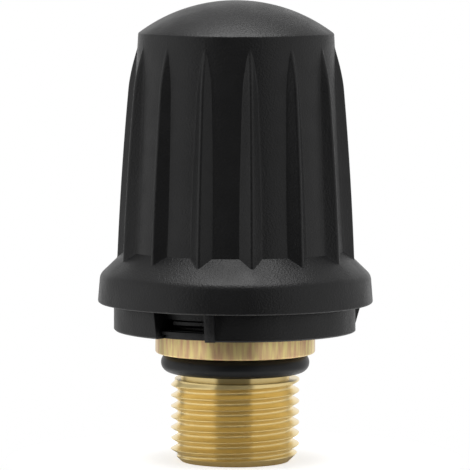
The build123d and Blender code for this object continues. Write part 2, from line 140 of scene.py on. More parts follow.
brass, tree = new_material("lathe_turned_brass")
place = add_node(tree, "ShaderNodeTexCoord").outputs["Object"]
axes = add_node(tree, "ShaderNodeSeparateXYZ", {"Vector": place})
flat = add_node(tree, "ShaderNodeCombineXYZ", {"X": axes.outputs["X"], "Y": axes.outputs["Y"]})
radius = add_node(tree, "ShaderNodeVectorMath", {0: flat.outputs[0]}, operation="LENGTH")
rings_at = add_node(
    tree, "ShaderNodeCombineXYZ", {"X": radius.outputs["Value"], "Z": axes.outputs["Z"]}
)
rings = add_node(
    tree, "ShaderNodeTexNoise",
    {"Vector": rings_at.outputs[0], "Scale": 1 / RING_PITCH, "Detail": 2.0},
)
slow_z = add_node(
    tree, "ShaderNodeMath", {0: axes.outputs["Z"], 1: STREAK_STRETCH}, operation="MULTIPLY"
)
streaks_at = add_node(
    tree, "ShaderNodeCombineXYZ",
    {"X": axes.outputs["X"], "Y": axes.outputs["Y"], "Z": slow_z.outputs[0]},
)
streaks = add_node(
    tree, "ShaderNodeTexNoise",
    {"Vector": streaks_at.outputs[0], "Scale": 1 / STREAK_WIDTH, "Detail": 3.0},
)
skin = add_node(
    tree, "ShaderNodeMapRange",
    {"Value": streaks.outputs[0], "From Min": 0.35, "From Max": 0.65},
)
in_flange = add_node(
    tree, "ShaderNodeMapRange",
    {"Value": axes.outputs["Z"], "From Min": SKIN_Z - SKIN_BLEND, "From Max": SKIN_Z},
)
streaked = add_node(
    tree, "ShaderNodeMix",
    {"Factor": in_flange.outputs["Result"], "A": THREAD_TONE, "B": skin.outputs["Result"]},
)
tint = add_node(
    tree, "ShaderNodeMix",
    {"Factor": streaked.outputs["Result"], "A": linear("#dbb28c"), "B": linear("#f3e09c")},
    data_type="RGBA",
)
relief = add_node(
    tree, "ShaderNodeBump",
    {"Height": rings.outputs[0], "Strength": 0.25, "Distance": 0.01 * MM},
)
round_axis = add_node(tree, "ShaderNodeTangent", direction_type="RADIAL", axis="Z")
dullness = add_node(
    tree, "ShaderNodeMix",
    {"Factor": in_flange.outputs["Result"], "A": THREAD_ROUGHNESS, "B": SKIN_ROUGHNESS},
)
metal = add_node(
    tree, "ShaderNodeBsdfPrincipled",
    {
        "Base Color": tint.outputs["Result"],
        "Metallic": 1.0,
        "Roughness": dullness.outputs["Result"],
        "Anisotropic": 0.85,
        "Anisotropic Rotation": 0.25,
        "Tangent": round_axis.outputs["Tangent"],
        "Normal": relief.outputs["Normal"],
    },
)
add_node(tree, "ShaderNodeOutputMaterial", {"Surface": metal.outputs["BSDF"]})
print("brass rings", round(RING_PITCH / MM, 2), "mm apart")

# %% [markdown]
# ## Rubber
# The sealing ring and the face of the poppet are moulded nitrile rubber: satin, and a little
# blue. The skin of the mould leaves a very fine grain.

# %% Material: nitrile rubber
RUBBER_SKIN = 0.35 * MM

rubber, tree = new_material("moulded_nitrile_rubber")
place = add_node(tree, "ShaderNodeTexCoord").outputs["Object"]
skin = add_node(tree, "ShaderNodeTexNoise", {"Vector": place, "Scale": 1 / RUBBER_SKIN, "Detail": 2.0})
tint = add_node(
    tree, "ShaderNodeMix",
    {"Factor": skin.outputs[0], "A": linear("#07080a"), "B": linear("#0d0f12")},
    data_type="RGBA",
)
relief = add_node(
    tree, "ShaderNodeBump", {"Height": skin.outputs[0], "Strength": 0.15, "Distance": 0.03 * MM}
)
soft = add_node(
    tree, "ShaderNodeBsdfPrincipled",
    {
        "Base Color": tint.outputs["Result"],
        "Roughness": 0.42,
        "IOR": 1.5,
        "Specular IOR Level": 0.3,
        "Normal": relief.outputs["Normal"],
    },
)
add_node(tree, "ShaderNodeOutputMaterial", {"Surface": soft.outputs["BSDF"]})
print("rubber skin", round(RUBBER_SKIN / MM, 2), "mm")

# %% [markdown]
# ## Steel and spring wire
# The washers, clips, nuts and gears inside are zinc-plated steel, and the springs are drawn
# wire, which is darker and glossier. Both carry fine uneven marks, so one function makes them.

# %% Materials: steels
PLATE_MARK = 0.4 * MM


def steel(name, dark, light, rough):
    """A plated or drawn steel whose colour and gloss vary with fine marks."""
    made, tree = new_material(name)
    place = add_node(tree, "ShaderNodeTexCoord").outputs["Object"]
    marks = add_node(
        tree, "ShaderNodeTexNoise", {"Vector": place, "Scale": 1 / PLATE_MARK, "Detail": 3.0}
    )
    tint = add_node(
        tree, "ShaderNodeMix",
        {"Factor": marks.outputs[0], "A": linear(dark), "B": linear(light)},
        data_type="RGBA",
    )
    relief = add_node(
        tree, "ShaderNodeBump",
        {"Height": marks.outputs[0], "Strength": 0.2, "Distance": 0.01 * MM},
    )
    metal = add_node(
        tree, "ShaderNodeBsdfPrincipled",
        {
            "Base Color": tint.outputs["Result"],
            "Metallic": 1.0,
            "Roughness": rough,
            "Normal": relief.outputs["Normal"],
        },
    )
    add_node(tree, "ShaderNodeOutputMaterial", {"Surface": metal.outputs["BSDF"]})
    return made


zinc_steel = steel("zinc_plated_steel", "#a9abad", "#c9cbcc", 0.34)
spring_wire = steel("drawn_spring_wire", "#8d8f92", "#b3b5b7", 0.28)
print("materials:", [m.name for m in (nylon, brass, rubber, zinc_steel, spring_wire)])

# %% [markdown]
# ## From outlines to meshes
# Most pieces here are turned or moulded round one axis, so each starts as an outline of
# radius and height in millimetres. A corner may carry a small round, as every real edge does,
# because a sharp edge catches no light. The outline is then carried round the axis.

# %% Helpers for shapes
FACETS = 144
ROUND_STEPS = 4
SAME_POINT = 0.001 * MM
SHARP_ANGLE = 32


def rounded(corners):
    """Outline through corners (r, z) or (r, z, round), with an arc at each corner that has one."""
    points = []
    for at, corner in enumerate(corners):
        here = Vector(corner[:2])
        size = corner[2] if len(corner) > 2 else 0
        if not size or at in (0, len(corners) - 1):
            points.append(here)
            continue
        back = (Vector(corners[at - 1][:2]) - here).normalized()
        ahead = (Vector(corners[at + 1][:2]) - here).normalized()
        half = back.angle(ahead) / 2
        start = here + back * size / math.tan(half)
        centre = here + (back + ahead).normalized() * size / math.sin(half)
        spoke = start - centre
        turn = (here + ahead * size / math.tan(half) - centre).angle_signed(spoke)
        for step in range(ROUND_STEPS + 1):
            points.append(centre + Matrix.Rotation(turn * step / ROUND_STEPS, 2) @ spoke)
    return points


def circle(radius, steps, middle=(0.0, 0.0)):
    """Points of a circle; the last one repeats the first."""
    angles = [math.tau * step / steps for step in range(steps + 1)]
    return [(middle[0] + radius * math.cos(a), middle[1] + radius * math.sin(a)) for a in angles]


def add_object(name, data):
    """A new object of the scene with the given data."""
    made = bpy.data.objects.new(name, data)
    bpy.context.scene.collection.objects.link(made)
    return made


def smooth(data, sharp_angle=SHARP_ANGLE):
    """Shades a mesh smooth, apart from edges that turn more than an angle in degrees."""
    data.shade_smooth()
    data.set_sharp_from_angle(angle=math.radians(sharp_angle))


def mesh_object(name, points, faces, material, sharp_angle=SHARP_ANGLE):
    """A closed, outward, smooth-shaded mesh of points in millimetres; near doubles are merged."""
    shape = bmesh.new()
    corners = [shape.verts.new(Vector(point) * MM) for point in points]
    for face in faces:
        shape.faces.new([corners[at] for at in face])
    bmesh.ops.remove_doubles(shape, verts=shape.verts, dist=SAME_POINT)
    bmesh.ops.dissolve_degenerate(shape, dist=SAME_POINT, edges=shape.edges)
    bmesh.ops.recalc_face_normals(shape, faces=shape.faces)
    data = bpy.data.meshes.new(name)
    shape.to_mesh(data)
    shape.free()
    smooth(data, sharp_angle)
    data.materials.append(material)
    return add_object(name, data)


def carry_round(outline, start=0.0, width=360.0, steps=FACETS):
    """Points and faces of an outline carried round Z, in millimetres and degrees."""
    points, faces = [], []
    for step in range(steps + 1):
        angle = math.radians(start + width * step / steps)
        points += [(r * math.cos(angle), r * math.sin(angle), z) for r, z in outline]
    count = len(outline)
    for step in range(steps):
        for at in range(count - 1):
            low = step * count + at
            faces.append((low, low + count, low + count + 1, low + 1))
    return points, faces


def turned(name, corners, material, steps=FACETS):
    """A full turn of an outline; a closed outline repeats its first corner at the end."""
    return mesh_object(name, *carry_round(rounded(corners), steps=steps), material)


def block(name, section, start, width, material, steps=24):
    """A solid of the closed section (r, z) carried from one angle over a width of degrees."""
    outline = [Vector(corner[:2]) for corner in section]
    points, faces = carry_round(outline + outline[:1], start, width, steps)
    loop = len(outline) + 1
    faces.append(tuple(range(loop - 1)))
    faces.append(tuple(steps * loop + at for at in reversed(range(loop - 1))))
    return mesh_object(name, points, faces, material)


def slab(name, section, width, angle, material):
    """A slab of even width whose closed section (r, z) lies in the half-plane at an angle."""
    turn = Matrix.Rotation(math.radians(angle), 3, "Z")
    points = [turn @ Vector((r, side * width, z)) for side in (-0.5, 0.5) for r, z in section]
    count = len(section)
    faces = [tuple(range(count)), tuple(range(count, 2 * count))]
    for at in range(count):
        ahead = (at + 1) % count
        faces.append((at, ahead, count + ahead, count + at))
    return mesh_object(name, points, faces, material)


def settle(piece, name=None):
    """Turns a piece with its modifiers into a plain mesh and returns the new object."""
    bpy.context.view_layer.update()
    seen = piece.evaluated_get(bpy.context.evaluated_depsgraph_get())
    data = bpy.data.meshes.new_from_object(seen)
    old_name = piece.name
    bpy.data.objects.remove(piece)
    made = add_object(name or old_name, data)
    data.name = made.name
    return made


def report(piece):
    """Prints how many triangles a piece has and whether its mesh is closed."""
    data = piece.data
    data.calc_loop_triangles()
    shape = bmesh.new()
    shape.from_mesh(data)
    open_edges = sum(1 for edge in shape.edges if not edge.is_manifold)
    shape.free()
    print(f"{piece.name}: {len(data.loop_triangles)} triangles, {open_edges} open edges")


# %% [markdown]
# ## Repeat round the axis
# Ribs, snap arms, wedges and webs all repeat at equal angles. One Geometry Nodes tree does it:
# it sets as many points as asked on the axis, puts a copy of the piece on each, turns every
# copy a little further, and makes the copies real.

# %% Geometry Nodes: copies round the axis
def new_tree(name, inputs):
    """An empty tree that gives a geometry, and the outputs of its node of named inputs."""
    made = bpy.data.node_groups.new(name, "GeometryNodeTree")
    for socket, kind in inputs.items():
        made.interface.new_socket(name=socket, in_out="INPUT", socket_type="NodeSocket" + kind)
    made.interface.new_socket(name="Geometry", in_out="OUTPUT", socket_type="NodeSocketGeometry")
    return made, add_node(made, "NodeGroupInput").outputs


around, given = new_tree("copies_round_the_axis", {
    "Piece": "Object",
    "Count": "Int",
    "First Angle": "Float",
    "Merge Distance": "Float",
    "Material": "Material",
})
spots = add_node(
    around, "GeometryNodeMeshLine", {"Count": given["Count"], "Offset": (0, 0, 0)}, mode="OFFSET"
)
number = add_node(around, "GeometryNodeInputIndex")
share = add_node(around, "ShaderNodeMath", {0: math.tau, 1: given["Count"]}, operation="DIVIDE")
turn = add_node(
    around, "ShaderNodeMath",
    {0: number.outputs[0], 1: share.outputs[0], 2: given["First Angle"]},
    operation="MULTIPLY_ADD",
)
euler = add_node(around, "ShaderNodeCombineXYZ", {"Z": turn.outputs[0]})
turned_by = add_node(around, "FunctionNodeEulerToRotation", {0: euler.outputs[0]})
copy_of = add_node(around, "GeometryNodeObjectInfo", {"Object": given["Piece"]})
copies = add_node(
    around, "GeometryNodeInstanceOnPoints",
    {
        "Points": spots.outputs["Mesh"],
        "Instance": copy_of.outputs["Geometry"],
        "Rotation": turned_by.outputs[0],
    },
)
real = add_node(around, "GeometryNodeRealizeInstances", {"Geometry": copies.outputs[0]})
joined = add_node(
    around, "GeometryNodeMergeByDistance",
    {"Geometry": real.outputs[0], "Distance": given["Merge Distance"]},
)
finished = add_node(
    around, "GeometryNodeSetMaterial",
    {"Geometry": joined.outputs[0], "Material": given["Material"]},
)
add_node(around, "NodeGroupOutput", {"Geometry": finished.outputs[0]})


def run_nodes(name, tree, values, sharp_angle=SHARP_ANGLE):
    """Runs a node tree with the given inputs and returns its result as a plain mesh piece."""
    holder = add_object(name, bpy.data.meshes.new(name))
    nodes = holder.modifiers.new("nodes", "NODES")
    nodes.node_group = tree
    for socket in tree.interface.items_tree:
        if socket.item_type == "SOCKET" and socket.in_out == "INPUT" and socket.name in values:
            nodes[socket.identifier] = values[socket.name]
    made = settle(holder)
    smooth(made.data, sharp_angle)
    return made


def repeated(piece, count, first_angle=0.0):
    """Copies of a piece at equal angles round Z, from first_angle in degrees."""
    name = piece.name
    piece.name = name + "_single"
    made = run_nodes(name, around, {
        "Piece": piece,
        "Count": count,
        "First Angle": math.radians(first_angle),
        "Merge Distance": SAME_POINT,
        "Material": piece.data.materials[0],
    })
    bpy.data.objects.remove(piece)
    return made


print("tree:", around.name, "with", len(around.nodes), "nodes")

# %% [markdown]
# ## The ribbed grip
# The grip is a slightly tapered cup with a shallow dome, fourteen sharp ribs and a flared
# skirt. A rib is a ridge between two flat flanks, and its crest bulges and then bows in under
# the dome. Cutting ribs with booleans would leave hard joins, so one fourteenth of the whole
# wall is computed instead, with columns of vertices that follow the crest and the feet of the
# rib. The join of rib and wall is blended, as a moulded part has no sharp inner corner.

# %% Sizes of the grip
RIB_COUNT = 14
FIRST_RIB_ANGLE = -82.15
DOME_TOP_Z = 64.5
DOME_EDGE = (13.65, 59.9)
DOME_EDGE_ROUND = 0.35
DOME_SPHERE_R = 22.55
DOME_STEPS = 18
RIB_END = (13.79, 57.4)
WALL_BEND = (14.12, 51.5)
WALL_FOOT = (15.21, 31.9)
CONE_FOOT = (15.34, 29.65)
CONE_MIDDLE = (16.84, 28.21)
SKIRT_EDGE = (18.93, 26.2)
SKIRT_EDGE_ROUND = 1.5
SKIRT_FOOT = (19.25, 22.3)
SKIRT_FOOT_ROUND = 0.3
RIBBED_Z = (27.5, 59.4)
RIBBED_LEAST_R = 13.7
CREST_FOOT = (16.62, 28.75)
CREST_DRAFT = 0.0405
CREST_BULGE = 0.00108
CREST_BOW = 0.0431
CREST_BOW_Z = 52.3
CREST_BOW_POWER = 1.66
CREST_ROUND = 0.4
SPREAD_AT_FOOT = 1.033
SPREAD_LOSS = 0.01065
SPREAD_Z = 31.0
FOOT_BLEND = 0.1
CEILING_SPHERE_R = 20.35
CEILING_TOP_Z = 62.3
CEILING_STEPS = 8
SKIRT_INNER_R = 17.1
SKIRT_INNER_ROUND = 0.2
SKIRT_SEAT = (15.9, 23.9)
ARM_OUTER_R = 13.75
RING_R = 12.8
RING_Z = (28.2, 31.8)
RING_SHOULDER_R = 12.0
CAVITY_TOP = (11.55, 58.7)


def crest_radius(z):
    """Radius of a rib's crest: nearly straight, then bowed inwards under the dome."""
    up = z - CREST_FOOT[1]
    bow = CREST_BOW * max(0.0, z - CREST_BOW_Z) ** CREST_BOW_POWER
    return CREST_FOOT[0] - CREST_DRAFT * up - CREST_BULGE * up**2 - bow


def flank_spread(z):
    """How far a rib widens to each side per millimetre below its crest: less near the dome."""
    return SPREAD_AT_FOOT - SPREAD_LOSS * (z - SPREAD_Z)


def sphere_arc(top_z, sphere_r, edge_r, steps):
    """Points of a sphere's section from its top to the radius edge_r."""
    widest = math.asin(edge_r / sphere_r)
    angles = [widest * step / steps for step in range(steps + 1)]
    return [(sphere_r * math.sin(a), top_z - sphere_r * (1 - math.cos(a))) for a in angles]


def between(first, last, count):
    """Points on a straight line between two outline points, without its ends."""
    shares = [step / (count + 1) for step in range(1, count + 1)]
    return [tuple(a + (b - a) * s for a, b in zip(first, last)) for s in shares]


# %% [markdown]
# The outline runs from the top of the dome down the outside, round the skirt and up the inside
# to the axis again. Straight stretches carry extra points, because the ribs change with height.

# %% Outline of the grip
dome = sphere_arc(DOME_TOP_Z, DOME_SPHERE_R, DOME_EDGE[0], DOME_STEPS)
outer = dome[:-1] + [(*DOME_EDGE, DOME_EDGE_ROUND)]
stretches = (
    (DOME_EDGE, RIB_END, 10),
    (RIB_END, WALL_BEND, 12),
    (WALL_BEND, WALL_FOOT, 10),
    (WALL_FOOT, CONE_FOOT, 4),
    (CONE_FOOT, CONE_MIDDLE, 14),
)
for first, last, count in stretches:
    outer += between(first, last, count) + [last]
outer += between(CONE_MIDDLE, SKIRT_EDGE, 4)[:-1] + [(*SKIRT_EDGE, SKIRT_EDGE_ROUND)]
outer += [(*SKIRT_FOOT, SKIRT_FOOT_ROUND)]
inner = [
    (SKIRT_INNER_R, SKIRT_FOOT[1], SKIRT_INNER_ROUND),
    (SKIRT_INNER_R, SKIRT_SEAT[1]),
    SKIRT_SEAT,
    (SKIRT_SEAT[0], SKIRT_EDGE[1]),
    (ARM_OUTER_R, RING_Z[0]),
    (RING_R, RING_Z[0]),
    (RING_R, RING_Z[1]),
    (RING_SHOULDER_R, RING_Z[1]),
    CAVITY_TOP,
]
ceiling = sphere_arc(CEILING_TOP_Z, CEILING_SPHERE_R, CAVITY_TOP[0], CEILING_STEPS)[-2::-1]
grip_outline = rounded(outer + inner + ceiling)
print("grip outline:", len(grip_outline), "points")

# %% [markdown]
# Every point of the outline becomes a row of vertices across one fourteenth of the wall. The
# row follows the round crest, the flat flanks and the valleys, and its spacing is the same
# share of a flank at every height, so the columns run cleanly along the rib.

# %% One fourteenth of the grip
HALF_STEP = math.pi / RIB_COUNT
FLANK_SHARES = (0, 0.05, 0.1, 0.15, 0.2, 0.25, 0.33, 0.5, 0.7, 0.84, 0.93, 0.97, 1.0)
VALLEY_SHARES = (0.02, 0.06, 0.15, 0.35, 0.65, 1.0)
LEAST_FOOT = math.radians(0.6)
PLAIN_FOOT = math.radians(6.2)


def apex_radius(crest, spread):
    """Where the flanks of a rib would meet if its crest were sharp."""
    return crest + CREST_ROUND * (math.hypot(1.0, 1.0 / spread) - 1)


def foot_angle(crest, spread, wall):
    """Angle from a rib's middle to where its flank meets the wall."""
    lean = math.hypot(1.0, 1.0 / spread)
    reach = min(1.0, apex_radius(crest, spread) / wall / lean)
    return max(LEAST_FOOT, math.atan(1.0 / spread) - math.acos(reach))


def rib_radius(crest, spread, angle):
    """Radius of a rib at an angle from its middle: a round crest, then a flat flank."""
    middle = crest - CREST_ROUND
    turn = math.pi / 2 - math.atan(spread)
    arc_end = math.atan2(CREST_ROUND * math.sin(turn), middle + CREST_ROUND * math.cos(turn))
    if angle < arc_end:
        across = middle * math.sin(angle)
        return middle * math.cos(angle) + math.sqrt(CREST_ROUND**2 - across**2)
    return apex_radius(crest, spread) / (math.cos(angle) + math.sin(angle) / spread)


points, faces = [], []
for wall, z in grip_outline:
    ribbed = RIBBED_Z[0] < z < RIBBED_Z[1] and wall > RIBBED_LEAST_R
    crest, spread = crest_radius(z), flank_spread(z)
    foot = foot_angle(crest, spread, wall) if ribbed else PLAIN_FOOT
    half = [s * foot for s in FLANK_SHARES]
    half += [foot + s * (HALF_STEP - foot) for s in VALLEY_SHARES]
    for angle in [-a for a in reversed(half[1:])] + half:
        r = wall
        if ribbed:
            flank = rib_radius(crest, spread, abs(angle))
            r = (flank + wall + math.hypot(flank - wall, FOOT_BLEND)) / 2
            faded = wall + max(0.0, r - wall - FOOT_BLEND**2 / 4 / (abs(flank - wall) + FOOT_BLEND))
            r = faded if flank < wall else r
        points.append((r * math.cos(angle), r * math.sin(angle), z))
row = len(half) * 2 - 1
for at in range(len(grip_outline) - 1):
    for column in range(row - 1):
        low = at * row + column
        faces.append((low, low + 1, low + row + 1, low + row))

grip_sector = bpy.data.meshes.new("grip_shell")
grip_sector.from_pydata([Vector(p) * MM for p in points], [], faces)
grip_sector.materials.append(nylon)
grip_shell = repeated(add_object("grip_shell", grip_sector), RIB_COUNT, FIRST_RIB_ANGLE)
shape = bmesh.new()
shape.from_mesh(grip_shell.data)
bmesh.ops.dissolve_degenerate(shape, dist=SAME_POINT, edges=shape.edges)
bmesh.ops.recalc_face_normals(shape, faces=shape.faces)
shape.to_mesh(grip_shell.data)
shape.free()
report(grip_shell)
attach(grip_shell, "grip")
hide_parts("knob_shell")

# %% [markdown]
# ## Inside the grip
# Under the dome a short tube takes the push of the spring, held by six thin webs, and three
# snap arms reach down into the windows of the collar, where their hooks can be seen. They are
# moulded in one with the grip on the real part, and are made here as pieces of their own that
# ride with it.

# %% Boss, webs and snap arms
BOSS_INNER_R = 7.9
BOSS_OUTER_R = 10.0
BOSS_Z = (46.8, 59.9)
BOSS_EDGE_ROUND = 0.2
BOSS_FACETS = 72
WEB_COUNT = 6
WEB_THICKNESS = 1.2
WEB_R = (9.9, 11.7)
WEB_Z = (50.0, 58.8)
WINDOW_COUNT = 3
WINDOW_START = -131.3
WINDOW_WIDTH = 27.54
ARM_INSET = 4.9
ARM_WIDTH = 20.0
ARM_INNER_R = 12.95
ARM_TOP_Z = 28.6
HOOK_TIP_R = 14.4
HOOK_Z = (19.95, 20.9)
HOOK_BEVEL = (0.5, 0.35)
HOOK_EASE = 0.15

boss = turned(
    "spring_boss",
    [
        (BOSS_INNER_R, BOSS_Z[0]),
        (BOSS_OUTER_R, BOSS_Z[0], BOSS_EDGE_ROUND),
        (BOSS_OUTER_R, BOSS_Z[1]),
        (BOSS_INNER_R, BOSS_Z[1]),
        (BOSS_INNER_R, BOSS_Z[0]),
    ],
    nylon,
    BOSS_FACETS,
)
web_section = [
    (WEB_R[0], WEB_Z[0]), (WEB_R[1], WEB_Z[0]), (WEB_R[1], WEB_Z[1]), (WEB_R[0], WEB_Z[1]),
]
webs = repeated(slab("grip_webs", web_section, WEB_THICKNESS, 0, nylon), WEB_COUNT)
arm = block(
    "snap_arms",
    [
        (ARM_INNER_R, HOOK_Z[0]),
        (HOOK_TIP_R - HOOK_BEVEL[0], HOOK_Z[0]),
        (HOOK_TIP_R, HOOK_Z[0] + HOOK_BEVEL[1]),
        (HOOK_TIP_R, HOOK_Z[1] - HOOK_EASE),
        (ARM_OUTER_R, HOOK_Z[1]),
        (ARM_OUTER_R, ARM_TOP_Z),
        (ARM_INNER_R, ARM_TOP_Z),
    ],
    WINDOW_START + ARM_INSET,
    ARM_WIDTH,
    nylon,
)
arms = repeated(arm, WINDOW_COUNT)
for piece in (boss, webs, arms):
    report(piece)
    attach(piece, "grip")
    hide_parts("knob_shell")

# %% [markdown]
# ## The collar
# The collar closes the underside of the grip. Its ring has three windows for the snap arms and
# a wedge-shaped rib beside each window. The ring is turned, the windows are cut with a
# boolean, because they are true holes with flat sides, and a small bevel then rounds the cut
# edges. The left side of a window leans a little, as the mould slide draws sideways, and the
# window on the right is wider than the others.

# %% Ring, windows and wedges of the collar
COLLAR_R = 17.0
COLLAR_INNER_R = 13.85
COLLAR_Z = (18.42, 23.9)
COLLAR_FLOOR_Z = 19.5
COLLAR_CHAMFER = 0.2
SLEEVE_R = (11.6, 12.4)
SLEEVE_TOP_Z = 28.3
PLATE_HOLE_R = 8.6
PLATE_Z = (21.0, 22.6)
WINDOW_BACK_R = 14.5
WINDOW_FRONT_R = 17.6
WINDOW_TOP_Z = 24.2
SILL_FRONT_R = 15.9
SILL_UNDER_R = 15.2
SILL_Z = (19.0, 19.45)
HOOK_CUT_R = 12.85
HOOK_CUT_Z = 21.0
CUT_BELOW_Z = 18.2
WINDOW_LEAN = -2.4
FIRST_SIDE_SHARE = 0.02
WIDENING_START = -18.7
WIDENING_WIDTH = 8.0
WEDGE_WIDTH = 1.4
WEDGE_ANGLE = -101.4
WEDGE_BACK_R = 16.5
WEDGE_FRONT_R = (17.54, 18.69)
WEDGE_TOP_Z = 22.25
EDGE_BEVEL = 0.09
EDGE_BEVEL_ANGLE = 35
EDGE_BEVEL_STEPS = 2

collar = turned(
    "base_collar_ring",
    [
        (SLEEVE_R[0], COLLAR_Z[0]),
        (COLLAR_R - COLLAR_CHAMFER, COLLAR_Z[0]),
        (COLLAR_R, COLLAR_Z[0] + COLLAR_CHAMFER),
        (COLLAR_R, COLLAR_Z[1]),
        (COLLAR_INNER_R, COLLAR_Z[1]),
        (COLLAR_INNER_R, COLLAR_FLOOR_Z),
        (SLEEVE_R[1], COLLAR_FLOOR_Z),
        (SLEEVE_R[1], SLEEVE_TOP_Z),
        (SLEEVE_R[0], SLEEVE_TOP_Z),
        (SLEEVE_R[0], PLATE_Z[1]),
        (PLATE_HOLE_R, PLATE_Z[1]),
        (PLATE_HOLE_R, PLATE_Z[0]),
        (SLEEVE_R[0], PLATE_Z[0]),
        (SLEEVE_R[0], COLLAR_Z[0]),
    ],
    nylon,
)
WINDOW_SECTION = [
    (HOOK_CUT_R, COLLAR_FLOOR_Z),
    (WINDOW_BACK_R, COLLAR_FLOOR_Z),
    (WINDOW_BACK_R, SILL_Z[1]),
    (SILL_FRONT_R, SILL_Z[1]),
    (SILL_FRONT_R, SILL_Z[0]),
    (SILL_UNDER_R, SILL_Z[0]),
    (SILL_UNDER_R, CUT_BELOW_Z),
    (WINDOW_FRONT_R, CUT_BELOW_Z),
    (WINDOW_FRONT_R, WINDOW_TOP_Z),
    (WINDOW_BACK_R, WINDOW_TOP_Z),
    (WINDOW_BACK_R, HOOK_CUT_Z),
    (HOOK_CUT_R, HOOK_CUT_Z),
]


def window_cutter(name, start, width):
    """A cutter for a window, with a first side that leans as the mould slide draws it."""
    cutter = block(name, WINDOW_SECTION, start, width, nylon)
    for corner in cutter.data.vertices:
        angle = math.degrees(math.atan2(corner.co.y, corner.co.x))
        if angle - start < FIRST_SIDE_SHARE * width:
            drop = (corner.co.z / MM - SKIRT_FOOT[1]) / (COLLAR_Z[1] - COLLAR_Z[0])
            corner.co = Matrix.Rotation(math.radians(WINDOW_LEAN * drop), 3, "Z") @ corner.co
    return cutter


window = window_cutter("window_cutters", WINDOW_START, WINDOW_WIDTH)
widening = window_cutter("widening_cutter", WIDENING_START, WIDENING_WIDTH)
wedge = slab(
    "collar_wedges",
    [
        (WEDGE_BACK_R, COLLAR_Z[0]),
        (WEDGE_FRONT_R[0], COLLAR_Z[0]),
        (WEDGE_FRONT_R[1], WEDGE_TOP_Z),
        (WEDGE_BACK_R, WEDGE_TOP_Z),
    ],
    WEDGE_WIDTH,
    WEDGE_ANGLE,
    nylon,
)
windows = repeated(window, WINDOW_COUNT)
wedges = repeated(wedge, WINDOW_COUNT)
helpers = ((windows, "DIFFERENCE"), (widening, "DIFFERENCE"), (wedges, "UNION"))
for helper, operation in helpers:
    change = collar.modifiers.new(helper.name, "BOOLEAN")
    change.operation, change.object, change.solver = operation, helper, "EXACT"
soften = collar.modifiers.new("edges", "BEVEL")
soften.width, soften.segments = EDGE_BEVEL * MM, EDGE_BEVEL_STEPS
soften.limit_method, soften.angle_limit = "ANGLE", math.radians(EDGE_BEVEL_ANGLE)
collar = settle(collar, "collar_with_windows")
for helper in (windows, widening, wedges):
    bpy.data.objects.remove(helper)
smooth(collar.data)
report(collar)
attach(collar, "grip")
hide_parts("base_collar")

# %% [markdown]
# ## The brass plug
# The thread is a metric one, 18 mm across with a pitch of 1.5 mm. It is a V groove with a round
# root, wound up a cylinder, and leaves crests that are nearly sharp. Its surface is one helical
# sheet: each row of vertices climbs one pitch per turn, so crest and root stay crisp lines.
# Rows that would leave the threaded length are held at its ends, the chamfer at the end of the
# thread simply limits the radius, and the groove runs out in its last turn, as a die leaves it.

# %% Thread
THREAD_R = 9.0
THREAD_PITCH = 1.5
THREAD_LENGTH = 11.6
GROOVE_R = 7.6
GROOVE_PHASE = 0.18
HALF_MOUTH = 0.7
ROOT_ROUND = 0.27
FLANK_SLOPE = math.sqrt(3)
FLANK_ANGLE = math.radians(30)
ROOT_END = ROOT_ROUND * math.cos(FLANK_ANGLE)
RUN_OUT = (11.15, 11.85)
END_CHAMFER = 1.43
FIRST_TURN = -2
ROOT_SHARES = (0.26, 0.51, 0.73, 0.9, 1.0)
FLANK_ROWS = (0.39, 0.55)
half_rows = [ROOT_END * share for share in ROOT_SHARES]
half_rows += [*FLANK_ROWS, HALF_MOUTH]
row_offsets = [-row for row in reversed(half_rows)] + [0.0] + half_rows + [THREAD_PITCH / 2]


def thread_radius(height, angle):
    """Radius of the thread at a height and an angle: V grooves with a round root."""
    climbed = GROOVE_PHASE + THREAD_PITCH * angle / math.tau
    centre = climbed + THREAD_PITCH * round((height - climbed) / THREAD_PITCH)
    away = abs(height - centre)
    depth = max(0.0, HALF_MOUTH - max(away, ROOT_END)) * FLANK_SLOPE
    if away < ROOT_END:
        depth += math.sqrt(ROOT_ROUND**2 - away**2) - ROOT_ROUND / 2
    left = (RUN_OUT[1] - centre) / (RUN_OUT[1] - RUN_OUT[0])
    return min(THREAD_R - depth * max(0.0, min(1.0, left)), THREAD_R - END_CHAMFER + height)


last_turn = math.ceil(THREAD_LENGTH / THREAD_PITCH)
levels = [
    turn * THREAD_PITCH + offset + GROOVE_PHASE
    for turn in range(FIRST_TURN, last_turn + 1)
    for offset in row_offsets
]
points, faces = [], []
for step in range(FACETS + 1):
    angle = math.tau * step / FACETS
    for level in levels:
        z = min(THREAD_LENGTH, max(0.0, level + THREAD_PITCH * step / FACETS))
        r = thread_radius(z, angle)
        points.append((r * math.cos(angle), r * math.sin(angle), z))
for step in range(FACETS):
    for at in range(len(levels) - 1):
        low = step * len(levels) + at
        faces.append((low, low + len(levels), low + len(levels) + 1, low + 1))
print("thread rows:", len(levels))

# %% [markdown]
# The rest of the plug is turned: the groove for the ring, the flange, the neck with a groove
# for its clip, and a spigot with two flats that keep the gear from turning. The valve chamber
# and the inlet are bored through its middle. A narrow ring of faces joins the thread to it.

